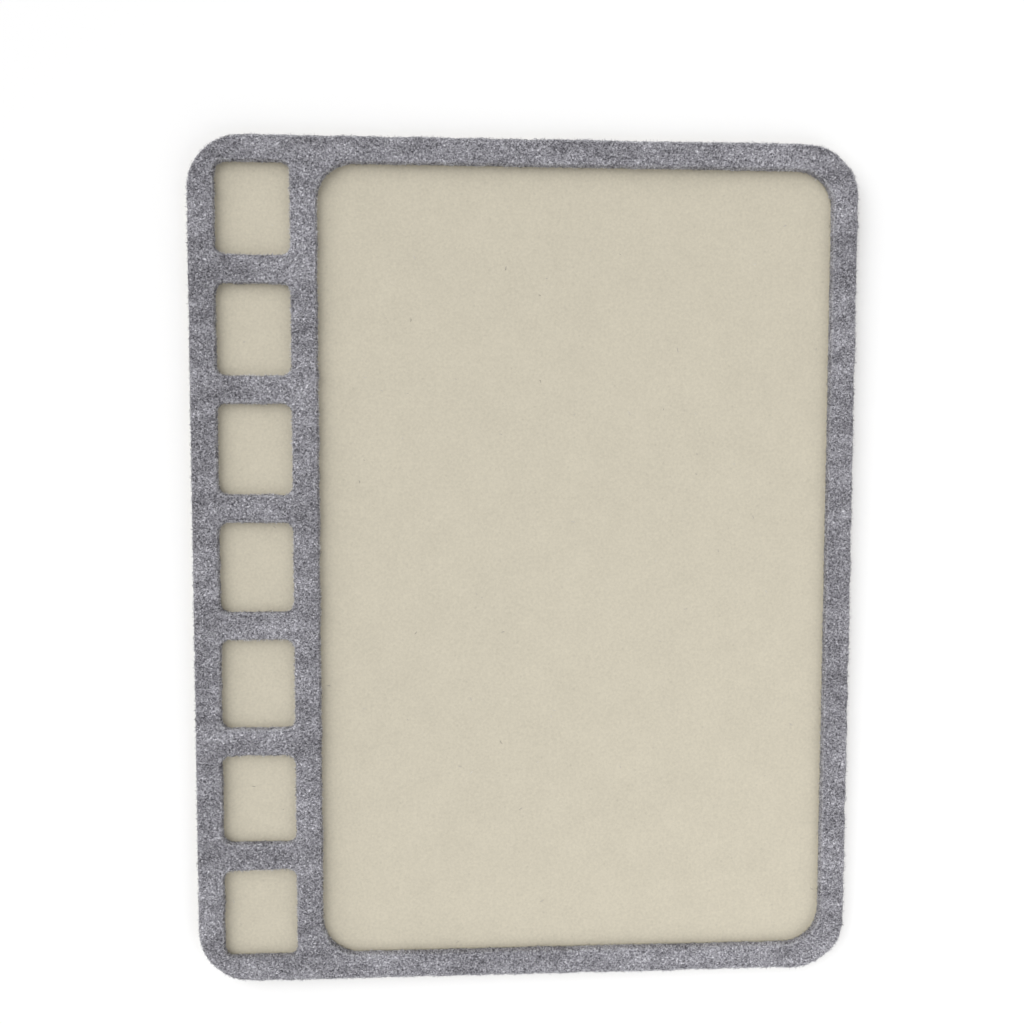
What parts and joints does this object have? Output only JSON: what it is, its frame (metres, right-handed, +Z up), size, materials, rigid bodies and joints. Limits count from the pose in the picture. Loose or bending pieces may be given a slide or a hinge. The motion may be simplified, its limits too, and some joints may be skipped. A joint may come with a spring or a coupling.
{
  "type": "bead mat",
  "caption": "Flat rectangular bead mat: soft cream flocked base under a die-cut grey felt frame with a large work window and a column of small pockets that keep loose beads from rolling.",
  "frame": {"origin": "centre of the underside, on the table", "axes": "+Z up out of the work face, +Y along the pocket column (the long side), +X from the pockets to the work window"},
  "size_m": [0.2794, 0.3556, 0.0072],
  "materials": {
    "felt": "heathered grey needled felt, fuzzy cut edges",
    "glue": "thin translucent adhesive film",
    "flock": "cream flocked pile, matte",
    "foam": "cream soft foam, open cells at the cut edge"
  },
  "bodies": {
    "root": {"felt_frame": "felt", "frame_glue": "glue", "face_flock": "flock", "foam_core": "foam", "back_flock": "flock"}
  },
  "joints": []
}
